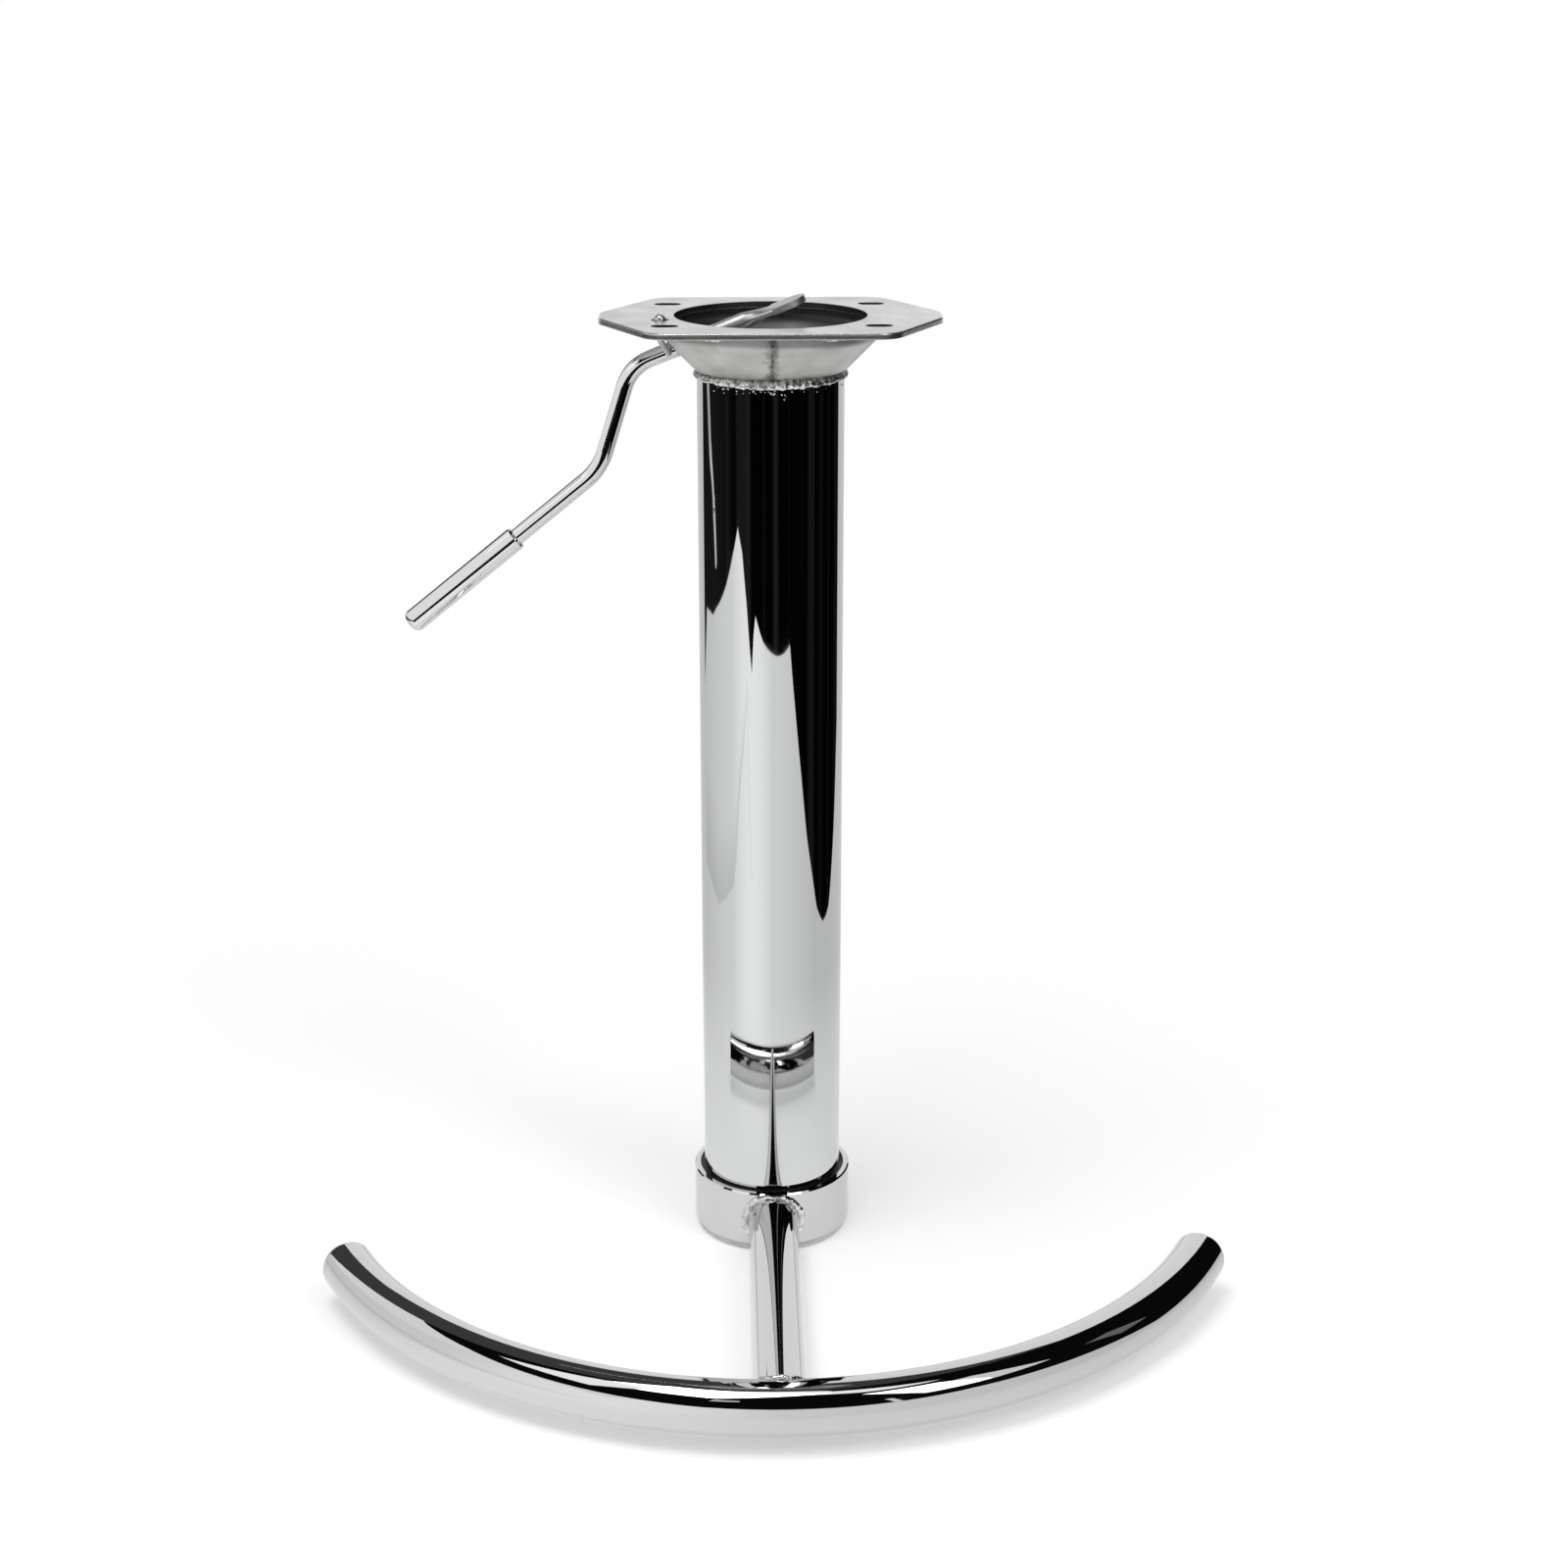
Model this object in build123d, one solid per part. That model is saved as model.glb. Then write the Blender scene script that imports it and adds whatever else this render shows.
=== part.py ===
from build123d import *
import os
from math import cos, radians, sin, sqrt, tan

# The upper unit of a gas-lift bar stool: a seat plate on a welded cup, a sleeve tube that slides down
# over the stool's column, a footrest ring at the tube's foot, and the lever that releases the gas spring.
# The origin lies on the tube's axis, level with the underside of the guide bush. +Z is up, and the
# footrest reaches forward, along -Y. Sizes are in millimetres.

# Guide bush that slides on the column
column_d = 50.0
column_clearance = 0.15
bush_wall = 3.35
bush_length = 40.0
flange_thickness = 3.0
flange_inset = 1.25
flange_round = 0.8

# Sleeve tube, which is as wide as the bush inside it asks
tube_wall = 1.5
tube_length = 379.0

# Footrest collar, the plastic ring inside it and the two grub screws at its back
collar_margin = 1.5
collar_wall = 2.5
collar_chamfer = 0.6
ring_wall = 1.75
ring_recess = 2.0
grub_d = 6.0
grub_recess = 0.4
grub_key = 3.0
grub_key_depth = 2.0
grub_angles = (55.0, 125.0)

# Footrest bar, its stem and its end caps
bar_od = 22.0
bar_wall = 1.5
bar_bend_radius = 198.0
bar_centre_y = 12.0
bar_half_angle = 65.0
stem_od = 22.0
stem_wall = 1.5
stem_end_inset = 4.0
cap_height = 4.0
cap_round = 3.4
cap_spigot = 5.0

# Seat plate
plate_width = 138.0
plate_depth = 104.0
plate_thickness = 2.5
plate_front_half = 47.0
plate_side_half = 8.0
plate_corner = 12.0
plate_edge_round = 0.6
opening_d = 78.0
slot_spacing_x = 84.0
slot_spacing_y = 62.0
slot_width = 7.0
slot_length = 11.0

# Cup: a short upright lip under the plate, then a cone down to the tube
cup_wall = 2.0
cup_lip_r = 44.5
cup_lip_height = 5.1
cup_height = 19.0
cup_foot_spread = 0.8
cup_knee_round = 5.0
seam_width = 1.2
seam_inset = 0.3

# Socket for the gas spring's tapered end, and the two discs that hold it in the tube
socket_od = 36.0
socket_length = 50.0
socket_mouth_d = 28.5
socket_taper = 1 / 20
socket_drop = 3.0
disc_thickness = 3.0
disc_inset = 4.0

# Release lever: a bent rod, flattened at its inner end
rod_d = 7.0
lever_rise = 21.4
lever_lift = 16.0
pivot_x = -41.0
pivot_drop = 14.5
lever_reach_in = 58.9
lever_knee_distance = 16.9
lever_drop_angle = 72.5
lever_drop_length = 43.9
lever_tail_angle = 39.0
lever_tail_length = 103.2
knee_bend_radius = 18.0
tail_bend_radius = 25.0
round_length = 33.0
forged_length = 12.0
blade_width = 15.0
blade_thickness = 2.6

# Chromed grip on the lever's outer end
grip_d = 10.0
grip_length = 58.5
grip_bore_depth = 52.0
grip_end_round = 3.0
grip_chamfer = 0.8

# Bent wire that the lever turns on
wire_d = 2.5
pivot_clearance = 0.08
wire_half_span = 7.0
wire_far_end = 8.5
wire_leg_x = -44.2
wire_leg_y = -14.0
wire_leg_start = 8.0
wire_bend_radius = 3.0
wire_hole_clearance = 0.4
wire_ball_d = 5.0
wire_ball_gap = 0.05
countersink_d = 7.6

# Gaps and weld sizes
slot_side_gap = 0.6
stop_gap = 0.3
bead = 2.3
bead_drop = 1.6
plate_bead = 2.6
plate_bead_arc = 24.0
plate_bead_angles = (0.0, 60.0, 120.0, 180.0, 235.0, 305.0)
collar_bead = 2.6
bar_bead = 1.6
bar_bead_gap = 0.2
disc_bead = 2.5

# Radii and heights that follow from the sizes above
bush_bore_r = column_d / 2 + column_clearance
tube_bore_r = bush_bore_r + bush_wall
tube_r = tube_bore_r + tube_wall
tube_foot_z = flange_thickness
tube_top_z = tube_foot_z + tube_length
plate_under_z = tube_top_z + cup_height
plate_top_z = plate_under_z + plate_thickness
ring_r = tube_r + ring_wall
collar_r = ring_r + collar_wall
flange_r = collar_r - flange_inset
collar_height = stem_od + 2 * collar_margin
collar_top_z = tube_foot_z + collar_height
bar_z = tube_foot_z + collar_height / 2
bar_r = bar_od / 2
bar_front_y = bar_centre_y - bar_bend_radius
stem_r = stem_od / 2
stem_end_y = bar_front_y + stem_end_inset
opening_r = opening_d / 2
cup_foot_r = tube_r + cup_foot_spread
cup_knee_z = plate_under_z - cup_lip_height
socket_r = socket_od / 2
socket_top_z = tube_top_z - socket_drop
socket_foot_z = socket_top_z - socket_length
socket_mouth_r = socket_mouth_d / 2
socket_neck_r = socket_mouth_r - socket_length * socket_taper / 2
rod_r = rod_d / 2
wire_r = wire_d / 2
wire_hole_r = wire_r + wire_hole_clearance
pivot_z = plate_top_z - pivot_drop
grip_r = grip_d / 2


def ring(outer_r, inner_r, low_z, height):
    """A plain ring about the tube's axis."""
    return Pos(0, 0, low_z) * extrude(Circle(outer_r) - Circle(inner_r), amount=height)


def disc(radius, low_z, height):
    """A plain disc about the tube's axis."""
    return Pos(0, 0, low_z) * extrude(Circle(radius), amount=height)


def spun(curves, arc=360.0):
    """A closed outline in the XZ plane, turned about the tube's axis."""
    return revolve(make_face(curves), axis=Axis.Z, revolution_arc=arc)


def outline(points):
    """A closed outline of straight lines in the XZ plane, from its (x, z) points."""
    return Polyline([(x, 0, z) for x, z in points], close=True)


def level_cylinder(radius, from_y, to_y):
    """A cylinder along -Y at the height of the footrest."""
    start = Plane(origin=(0, from_y, bar_z), x_dir=(1, 0, 0), z_dir=(0, -1, 0))
    return start * extrude(Circle(radius), amount=from_y - to_y)


def edges_at(part, z, radius):
    """The round edges of a turned part that lie at height z with this radius."""
    round_edges = part.edges().filter_by(GeomType.CIRCLE)
    return [e for e in round_edges if abs(e.center().Z - z) < 1e-3 and abs(e.radius - radius) < 1e-3]


def sleeve_tube():
    return ring(tube_r, tube_bore_r, tube_foot_z, tube_length)


def guide_bush():
    """A plastic bush inside the tube's foot, with a flange under the tube and the collar."""
    flange = disc(flange_r, 0, flange_thickness)
    rims = edges_at(flange, 0, flange_r) + edges_at(flange, flange_thickness, flange_r)
    flange = fillet(rims, flange_round)
    body = flange + disc(tube_bore_r, 0, flange_thickness + bush_length)
    return body - disc(bush_bore_r, 0, flange_thickness + bush_length)


def grub_frames():
    """One frame for each grub screw, with Z pointing out from the tube's axis."""
    frames = []
    for angle in grub_angles:
        outward = (cos(radians(angle)), sin(radians(angle)), 0)
        frames.append(Plane(origin=(0, 0, bar_z), x_dir=(0, 0, 1), z_dir=outward))
    return frames


def grub_screw(frame):
    """A headless screw from the tube's wall outwards, with a hexagonal key hole."""
    length = collar_r - grub_recess - tube_r
    body = Pos(0, 0, tube_r) * extrude(Circle(grub_d / 2), amount=length)
    key = RegularPolygon(grub_key / 2, 6, major_radius=False)
    key_hole = Pos(0, 0, collar_r - grub_recess - grub_key_depth) * extrude(key, amount=grub_key_depth)
    # The tip is hollowed to the tube's roundness, so that it bears on it all over.
    screw = frame * (body - key_hole)
    return screw - disc(tube_r, tube_foot_z, collar_height)


def screw_holes():
    holes = []
    for frame in grub_frames():
        holes.append(frame * Pos(0, 0, tube_bore_r) * extrude(Circle(grub_d / 2), amount=collar_r))
    return holes


def collar_screws():
    return Compound(children=[grub_screw(frame) for frame in grub_frames()])


def footrest_collar():
    body = ring(collar_r, ring_r, tube_foot_z, collar_height)
    rims = edges_at(body, tube_foot_z, collar_r) + edges_at(body, collar_top_z, collar_r)
    body = chamfer(rims, collar_chamfer)
    for hole in screw_holes():
        body = body - hole
    return body


def collar_ring():
    """The plastic ring between collar and tube. It stops short of the collar's top."""
    body = ring(ring_r, tube_r, tube_foot_z, collar_height - ring_recess)
    for hole in screw_holes():
        body = body - hole
    return body


def bar_sweep(outer_r, inner_r=0.0):
    """A round section carried along the footrest's arc, from its left end to its right end."""
    section = Circle(outer_r)
    if inner_r > 0:
        section = section - Circle(inner_r)
    turn = radians(bar_half_angle)
    left_end = (-bar_bend_radius * sin(turn), bar_centre_y - bar_bend_radius * cos(turn), bar_z)
    start = Plane(origin=left_end, x_dir=(0, 0, 1), z_dir=(cos(turn), -sin(turn), 0))
    axis = Axis((0, bar_centre_y, 0), (0, 0, 1))
    return revolve(start * section, axis=axis, revolution_arc=2 * bar_half_angle)


def footrest_bar():
    return bar_sweep(bar_r, bar_r - bar_wall)


def end_cap(side):
    """A rounded cap with a spigot in the bar's bore, on the right (1) or the left (-1)."""
    turn = radians(bar_half_angle)
    centre = (side * bar_bend_radius * sin(turn), bar_centre_y - bar_bend_radius * cos(turn), bar_z)
    outward = (side * cos(turn), sin(turn), 0)
    frame = Plane(origin=centre, x_dir=(0, 0, 1), z_dir=outward)
    cap = extrude(Circle(bar_r), amount=cap_height)
    far_rim = cap.edges().filter_by(GeomType.CIRCLE).sort_by(Axis.Z)[-1]
    cap = fillet(far_rim, cap_round)
    spigot = extrude(Circle(bar_r - bar_wall), amount=-cap_spigot)
    return frame * (cap + spigot) - bar_sweep(bar_r, bar_r - bar_wall)


def footrest_end_caps():
    return Compound(children=[end_cap(side) for side in (1, -1)])


def stem_blank(radius):
    """The stem's round bar, coped to the collar and to the footrest bar."""
    blank = level_cylinder(radius, 0, stem_end_y)
    return blank - disc(collar_r, 0, collar_top_z + collar_height) - bar_sweep(bar_r)


def footrest_stem():
    return stem_blank(stem_r) - level_cylinder(stem_r - stem_wall, 0, stem_end_y)


def stem_collar_weld():
    """A bead round the stem's root, kept on the collar's wall."""
    near_stem = level_cylinder(stem_r + collar_bead, 0, bar_front_y)
    near_collar = disc(collar_r + collar_bead, tube_foot_z + collar_chamfer, collar_height - 2 * collar_chamfer)
    bead_ring = (near_stem & near_collar) - disc(collar_r, tube_foot_z, collar_height)
    return bead_ring - level_cylinder(stem_r, 0, bar_front_y)


def stem_bar_weld():
    """A bead along the line where the stem meets the bar."""
    near_stem = level_cylinder(stem_r + bar_bead, 0, stem_end_y)
    bead_ring = (near_stem & bar_sweep(bar_r + bar_bead)) - bar_sweep(bar_r + bar_bead_gap)
    return bead_ring - level_cylinder(stem_r, 0, stem_end_y)


def corners(half_x, half_y):
    """The four places that mirror one place about both axes."""
    return [(sx * half_x, sy * half_y) for sx in (-1, 1) for sy in (-1, 1)]


def seat_plate():
    """A flat plate with long cut corners, a round opening, four seat slots and a hole for the wire."""
    front, side = plate_front_half, plate_side_half
    half_w, half_d = plate_width / 2, plate_depth / 2
    right = [(front, -half_d), (half_w, -side), (half_w, side), (front, half_d)]
    left = [(-x, y) for x, y in reversed(right)]
    face = make_face(Polyline(right + left, close=True))
    face = fillet(face.vertices(), plate_corner)
    blank = Pos(0, 0, plate_under_z) * extrude(face, amount=plate_thickness)
    blank = fillet(blank.faces().sort_by(Axis.Z)[-1].edges(), plate_edge_round)
    blank = blank - disc(opening_r, plate_under_z, plate_thickness)
    for x, y in corners(slot_spacing_x / 2, slot_spacing_y / 2):
        slot = extrude(SlotOverall(slot_length, slot_width), amount=plate_thickness)
        blank = blank - Pos(x, y, plate_under_z) * slot
    # The wire's hole is countersunk at a right angle, for the ball at the wire's end.
    hole = extrude(Circle(wire_hole_r), amount=plate_thickness)
    sink_depth = countersink_d / 2 - wire_hole_r
    sink = Cone(wire_hole_r, countersink_d / 2, sink_depth, align=(Align.CENTER, Align.CENTER, Align.MAX))
    blank = blank - Pos(wire_leg_x, wire_leg_y, plate_under_z) * hole
    return blank - Pos(wire_leg_x, wire_leg_y, plate_top_z) * sink


def cup_body(inset=0.0):
    """The turned shape of the cup, with its outer face moved in by inset."""
    slope = (cup_lip_r - cup_foot_r) / (cup_knee_z - tube_top_z)
    steep = sqrt(1 + slope**2)
    lip_r = cup_lip_r - inset
    foot_r = cup_foot_r - inset
    inner_lip_r = cup_lip_r - cup_wall
    # The cone's inner face lies one wall inside the outer one, so the knees don't share a height.
    inner_knee_z = cup_knee_z + (cup_wall * steep - cup_wall) / slope
    outer = FilletPolyline(
        (lip_r, 0, plate_under_z), (lip_r, 0, cup_knee_z), (foot_r, 0, tube_top_z), radius=cup_knee_round
    )
    inner = FilletPolyline(
        (cup_foot_r - cup_wall * steep, 0, tube_top_z),
        (inner_lip_r, 0, inner_knee_z),
        (inner_lip_r, 0, plate_under_z),
        radius=cup_knee_round - cup_wall,
    )
    return spun([outer, Line(outer @ 1, inner @ 0), inner, Line(inner @ 1, outer @ 0)])


def seam_gap():
    """The narrow gap at the front where the rolled cup's two edges meet."""
    gap = Box(seam_width, cup_lip_r, cup_height)
    return Pos(0, -cup_lip_r / 2, tube_top_z + cup_height / 2) * gap


def rod_edge_height(angle, side, wall_gap):
    """Where the rod's upper (1) or lower (-1) edge crosses a face of the cone, above the pivot."""
    slope = (cup_lip_r - cup_foot_r) / (cup_knee_z - tube_top_z)
    rise = tan(radians(angle))
    half = side * rod_r / cos(radians(angle))
    across = (wall_gap - slope * half) / (1 + slope * rise)
    return rise * across + half


def lever_slot():
    """The window in the cone: its ends stop the lever at rest and at full lift."""
    slope = (cup_lip_r - cup_foot_r) / (cup_knee_z - tube_top_z)
    outer_gap = -pivot_x - (cup_lip_r - slope * (cup_knee_z - pivot_z))
    inner_gap = outer_gap + cup_wall * sqrt(1 + slope**2)
    top = max(rod_edge_height(lever_rise, 1, gap) for gap in (outer_gap, inner_gap))
    foot = min(rod_edge_height(lever_rise - lever_lift, -1, gap) for gap in (outer_gap, inner_gap))
    low_z = pivot_z + foot - stop_gap
    high_z = pivot_z + top + stop_gap
    width = rod_d + 2 * slot_side_gap
    window = RectangleRounded(width, high_z - low_z, rod_r / 2)
    # The window is cut straight through the left wall, from the cup's middle outwards.
    frame = Plane(origin=(0, 0, (low_z + high_z) / 2), x_dir=(0, -1, 0), z_dir=(-1, 0, 0))
    return frame * extrude(window, amount=cup_lip_r + cup_wall)


def cup_cone():
    return cup_body() - seam_gap() - lever_slot()


def cup_seam_weld():
    return cup_body(seam_inset) & seam_gap()


def cup_plate_welds():
    """Short runs of weld in the corner between the cup's lip and the plate."""
    section = outline(
        [(cup_lip_r, plate_under_z), (cup_lip_r + plate_bead, plate_under_z), (cup_lip_r, plate_under_z - plate_bead)]
    )
    run = spun(section, plate_bead_arc)
    return Compound(children=[Rot(0, 0, angle - plate_bead_arc / 2) * run for angle in plate_bead_angles])


def tube_top_weld():
    """The bead that joins the cone to the top of the tube."""
    section = Plane.XZ * Pos(tube_r, tube_top_z - bead_drop) * Circle(bead)
    bead_ring = revolve(section, axis=Axis.Z, revolution_arc=360)
    solid_cup = spun(
        outline([(0, tube_top_z), (cup_foot_r, tube_top_z), (cup_lip_r, cup_knee_z), (0, cup_knee_z)])
    )
    return bead_ring - solid_cup - disc(tube_r, 0, plate_under_z)


def taper_socket():
    """A steel bush with a tapered bore that opens downwards."""
    section = outline(
        [
            (socket_mouth_r, socket_foot_z),
            (socket_r, socket_foot_z),
            (socket_r, socket_top_z),
            (socket_neck_r, socket_top_z),
        ]
    )
    return spun(section)


def socket_disc(low_z):
    return ring(tube_bore_r, socket_r, low_z, disc_thickness)


def socket_discs():
    """The two discs' lower faces, the upper one first."""
    return (socket_top_z - disc_inset - disc_thickness, socket_foot_z + disc_inset)


def socket_disc_welds():
    """A bead on each disc round the socket, and one round the upper disc's rim."""
    upper, lower = socket_discs()
    seats = [(socket_r, upper + disc_thickness, 1, 1), (socket_r, lower, 1, -1)]
    seats.append((tube_bore_r, upper + disc_thickness, -1, 1))
    beads = []
    for radius, z, outward, upward in seats:
        points = [(radius, z), (radius + outward * disc_bead, z), (radius, z + upward * disc_bead)]
        beads.append(spun(outline(points)))
    return Compound(children=beads)


def along(origin, angle, distance):
    """A point at this distance from another, up and to the right at this angle in the XZ plane."""
    x, z = origin
    return (x + distance * cos(radians(angle)), z + distance * sin(radians(angle)))


pivot = (pivot_x, pivot_z)
knee = along(pivot, lever_rise, -lever_knee_distance)
tail_bend = along(knee, lever_drop_angle, -lever_drop_length)
tail_end = along(tail_bend, lever_tail_angle, -lever_tail_length)
grip_start = along(tail_end, lever_tail_angle, grip_length)
rod_end = along(grip_start, lever_tail_angle, -grip_bore_depth)


def in_space(point):
    return (point[0], 0, point[1])


def across_lever(distance):
    """A frame square to the lever's inner arm, this far inwards of the pivot."""
    direction = (cos(radians(lever_rise)), 0, sin(radians(lever_rise)))
    return Plane(origin=in_space(along(pivot, lever_rise, distance)), x_dir=(0, 1, 0), z_dir=direction)


def lever_blade():
    """The flattened inner end, with a round tip."""
    flat_start = round_length + forged_length
    tip_centre = lever_reach_in - blade_width / 2
    face = Pos((flat_start + tip_centre) / 2, 0) * Rectangle(tip_centre - flat_start, blade_width)
    face = face + Pos(tip_centre, 0) * Circle(blade_width / 2)
    up = (-sin(radians(lever_rise)), 0, cos(radians(lever_rise)))
    inward = (cos(radians(lever_rise)), 0, sin(radians(lever_rise)))
    frame = Plane(origin=in_space(pivot), x_dir=inward, z_dir=up)
    return extrude(frame * face, amount=blade_thickness / 2, both=True)


def lever_rod():
    inner_end = along(pivot, lever_rise, round_length)
    path = FilletPolyline(
        [in_space(p) for p in (rod_end, tail_bend, knee, inner_end)],
        radius=[tail_bend_radius, knee_bend_radius],
    )
    rod = sweep(Plane(origin=path @ 0, z_dir=path % 0) * Circle(rod_r), path=path)
    forged = loft(
        [
            across_lever(round_length) * Circle(rod_r),
            across_lever(round_length + forged_length) * SlotOverall(blade_width, blade_thickness),
        ]
    )
    body = rod + forged + lever_blade()
    hole_plane = Plane(origin=in_space(pivot), x_dir=(1, 0, 0), z_dir=(0, -1, 0))
    return body - hole_plane * extrude(Circle(wire_r + pivot_clearance), amount=rod_d, both=True)


def lever_grip():
    """A sleeve with a closed round end, pushed over the rod."""
    direction = (-cos(radians(lever_tail_angle)), 0, -sin(radians(lever_tail_angle)))
    body = extrude(Circle(grip_r), amount=grip_length)
    rims = body.edges().filter_by(GeomType.CIRCLE).sort_by(Axis.Z)
    body = fillet(rims[-1], grip_end_round)
    near_rim = body.edges().filter_by(GeomType.CIRCLE).sort_by(Axis.Z)[0]
    body = chamfer(near_rim, grip_chamfer)
    body = body - extrude(Circle(rod_r), amount=grip_bore_depth)
    return Plane(origin=in_space(grip_start), x_dir=(0, 1, 0), z_dir=direction) * body


def lever_pivot_wire():
    """A wire through the lever, bent up beside the cup and ending in a ball in the plate's countersink."""
    ball_r = wire_ball_d / 2
    ball_z = plate_top_z - countersink_d / 2 + ball_r * sqrt(2) + wire_ball_gap
    path = FilletPolyline(
        [
            (pivot_x, wire_far_end, pivot_z),
            (pivot_x, -wire_half_span, pivot_z),
            (wire_leg_x, wire_leg_y, plate_top_z - wire_leg_start),
            (wire_leg_x, wire_leg_y, ball_z),
        ],
        radius=wire_bend_radius,
    )
    shank = sweep(Plane(origin=path @ 0, z_dir=path % 0) * Circle(wire_r), path=path)
    return shank + Pos(wire_leg_x, wire_leg_y, ball_z) * Sphere(ball_r)


upper_disc_z, lower_disc_z = socket_discs()

nodes = {
    "seat_plate": seat_plate(),
    "cup_cone": cup_cone(),
    "cup_seam_weld": cup_seam_weld(),
    "cup_plate_welds": cup_plate_welds(),
    "tube_top_weld": tube_top_weld(),
    "sleeve_tube": sleeve_tube(),
    "guide_bush": guide_bush(),
    "taper_socket": taper_socket(),
    "socket_top_disc": socket_disc(upper_disc_z),
    "socket_bottom_disc": socket_disc(lower_disc_z),
    "socket_disc_welds": socket_disc_welds(),
    "footrest_collar": footrest_collar(),
    "collar_ring": collar_ring(),
    "collar_screws": collar_screws(),
    "footrest_stem": footrest_stem(),
    "stem_collar_weld": stem_collar_weld(),
    "stem_bar_weld": stem_bar_weld(),
    "footrest_bar": footrest_bar(),
    "footrest_end_caps": footrest_end_caps(),
    "lever_rod": lever_rod(),
    "lever_grip": lever_grip(),
    "lever_pivot_wire": lever_pivot_wire(),
}

os.makedirs("parts", exist_ok=True)
for name, shape in nodes.items():
    export_step(shape, f"parts/{name}.step")
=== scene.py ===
# %% [markdown]
# # The upper unit of a bar stool: load the measured model
# The shapes of this object were measured and built in a CAD program. This script brings them in,
# gives every surface its finish, swaps the plain weld rings for rough weld metal, and lights it all.
# Blender works in metres here. The part stands on z = 0, its tube's axis is x = y = 0, and the
# footrest reaches towards -Y, where the camera stands.

# %% Load the measured model and keep its box
from math import cos, pi, radians, sin, sqrt
from random import Random

import bmesh
import bpy
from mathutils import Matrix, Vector, noise


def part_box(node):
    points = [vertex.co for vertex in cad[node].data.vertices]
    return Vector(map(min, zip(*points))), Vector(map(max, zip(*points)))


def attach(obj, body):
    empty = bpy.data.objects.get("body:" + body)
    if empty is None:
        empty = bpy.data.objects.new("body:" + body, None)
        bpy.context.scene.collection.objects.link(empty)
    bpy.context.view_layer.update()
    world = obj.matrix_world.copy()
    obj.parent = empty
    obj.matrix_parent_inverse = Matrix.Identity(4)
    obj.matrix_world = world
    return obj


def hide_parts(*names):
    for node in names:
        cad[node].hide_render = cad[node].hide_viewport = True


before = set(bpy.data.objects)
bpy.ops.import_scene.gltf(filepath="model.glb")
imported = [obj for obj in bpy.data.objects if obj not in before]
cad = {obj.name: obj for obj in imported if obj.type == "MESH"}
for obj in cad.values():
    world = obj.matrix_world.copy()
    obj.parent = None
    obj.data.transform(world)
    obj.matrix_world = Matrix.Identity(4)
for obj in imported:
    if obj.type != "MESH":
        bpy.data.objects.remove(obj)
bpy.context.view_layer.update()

# %% [markdown]
# ## A new finish, and small helpers for its nodes
# A finish is a node tree that ends in one Principled shader. A number that is the same all over,
# such as how metallic the surface is, goes straight on the shader's own socket. What varies comes
# from noise in the object's own coordinates, so it stays on the surface when the lever turns.

# %% Start a finish, or open one that is already made
def open_finish(material):
    """The node tree of a finish, its shader, and the object coordinates that its textures use."""
    tree = material.node_tree
    return tree, tree.nodes["Principled BSDF"], tree.nodes["Texture Coordinate"].outputs["Object"]


def new_finish(name, metallic, colour):
    """A material with one Principled shader, and what open_finish gives for it."""
    material = bpy.data.materials.new(name)
    material.use_nodes = True
    material.node_tree.nodes.new("ShaderNodeTexCoord")
    tree, shader, place = open_finish(material)
    shader.inputs["Metallic"].default_value = metallic
    shader.inputs["Base Color"].default_value = (*colour, 1)
    return material, tree, shader, place


print("a finish starts with one Principled shader")

# %% [markdown]
# Noise gives a number from 0 to 1 that changes from place to place. Most of its values lie between
# 0.3 and 0.7, so the helpers turn that span into the range of numbers or colours that is wanted.

# %% Noise, and what it can be turned into
noise_low, noise_high = 0.3, 0.7


def grain(tree, place, scale, detail=3.0, stretch=(1, 1, 1)):
    """Noise with this many features to the metre, drawn out along the axes with a low stretch."""
    if stretch != (1, 1, 1):
        mapping = tree.nodes.new("ShaderNodeMapping")
        mapping.inputs["Scale"].default_value = stretch
        tree.links.new(place, mapping.inputs["Vector"])
        place = mapping.outputs["Vector"]
    texture = tree.nodes.new("ShaderNodeTexNoise")
    texture.inputs["Scale"].default_value = scale
    texture.inputs["Detail"].default_value = detail
    tree.links.new(place, texture.inputs["Vector"])
    return texture.outputs["Fac"]


def spread(tree, value, low, high, start=noise_low, end=noise_high):
    """Turn a value that runs from start to end into one that runs from low to high."""
    node = tree.nodes.new("ShaderNodeMapRange")
    node.inputs["From Min"].default_value = start
    node.inputs["From Max"].default_value = end
    node.inputs["To Min"].default_value = low
    node.inputs["To Max"].default_value = high
    tree.links.new(value, node.inputs["Value"])
    return node.outputs["Result"]


def between(tree, value, dark, light, start=noise_low, end=noise_high):
    """Turn a value that runs from start to end into a colour between two near ones."""
    ramp = tree.nodes.new("ShaderNodeValToRGB")
    ramp.color_ramp.elements[0].position = start
    ramp.color_ramp.elements[0].color = (*dark, 1)
    ramp.color_ramp.elements[1].position = end
    ramp.color_ramp.elements[1].color = (*light, 1)
    tree.links.new(value, ramp.inputs["Fac"])
    return ramp.outputs["Color"]


def relief(tree, shader, height, depth):
    """Tiny hills and hollows of this depth, in metres."""
    bump = tree.nodes.new("ShaderNodeBump")
    bump.inputs["Strength"].default_value = 1.0
    bump.inputs["Distance"].default_value = depth
    tree.links.new(height, bump.inputs["Height"])
    tree.links.new(bump.outputs["Normal"], shader.inputs["Normal"])


print("noise is used from", noise_low, "to", noise_high)

# %% [markdown]
# ## Bright chrome
# The tube, the footrest and the lever are plated in decorative chrome: a mirror that keeps about
# two thirds of the light. Real chrome is never perfect. It has a faint haze that changes from place
# to place and polishing waves too shallow to feel, and both break up the straight reflections.

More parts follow.
